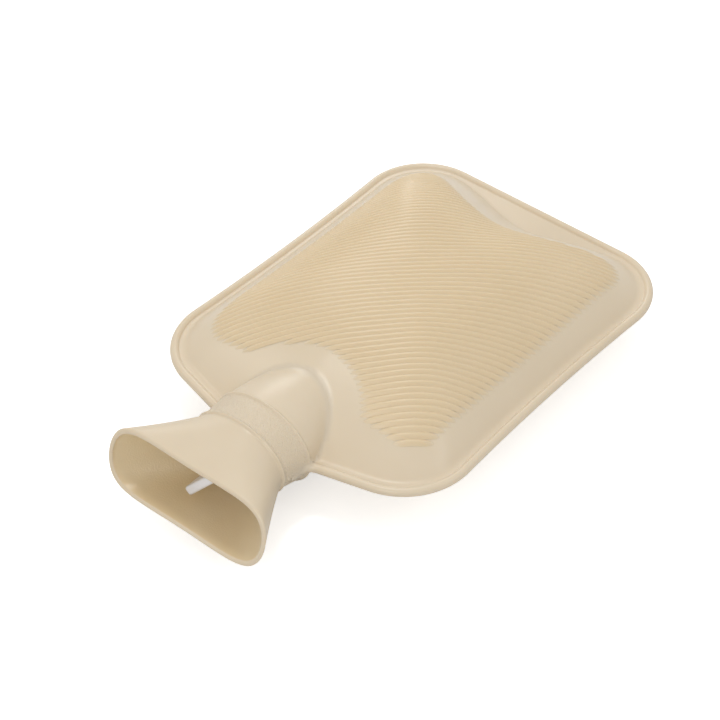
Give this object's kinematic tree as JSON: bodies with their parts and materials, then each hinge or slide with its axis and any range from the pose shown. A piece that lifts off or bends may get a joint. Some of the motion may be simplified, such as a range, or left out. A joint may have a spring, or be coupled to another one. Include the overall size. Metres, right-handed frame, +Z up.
{
  "type": "hot water bottle",
  "caption": "Rubber hot water bottle with a ribbed swollen bag, an oval neck, a wide flared funnel and a screw stopper with a sealing washer.",
  "frame": {"origin": "middle of the whole bottle in plan, on the surface that its underside rests on", "axes": "+Y from the funnel's mouth towards the far end of the bag, +X across the bag, +Z up out of the ribbed face"},
  "size_m": [0.1958, 0.3141, 0.0639],
  "materials": {
    "rubber": "satin cream moulded rubber",
    "insert": "turned",
    "stopper": "satin white moulding",
    "washer": "dark sealing rubber"
  },
  "bodies": {
    "bottle": {"rubber_bag": "rubber", "threaded_insert": "insert"},
    "washer": {"sealing_washer": "washer"},
    "stopper": {"screw_stopper": "stopper"}
  },
  "joints": [
    {"name": "washer_slide", "type": "slide", "parent": "bottle", "child": "washer", "axis": [0, -1, 0], "range_m": [0, 0.0121]},
    {"name": "stopper_turn", "type": "hinge", "parent": "washer", "child": "stopper", "pos_m": [0, -0.11786, 0.0324], "axis": [0, -1, 0], "range_deg": [0, 1080]}
  ],
  "couplings": [
    {"joint": "washer_slide", "follows": "stopper_turn", "m_per_rad": 0.00063662}
  ]
}
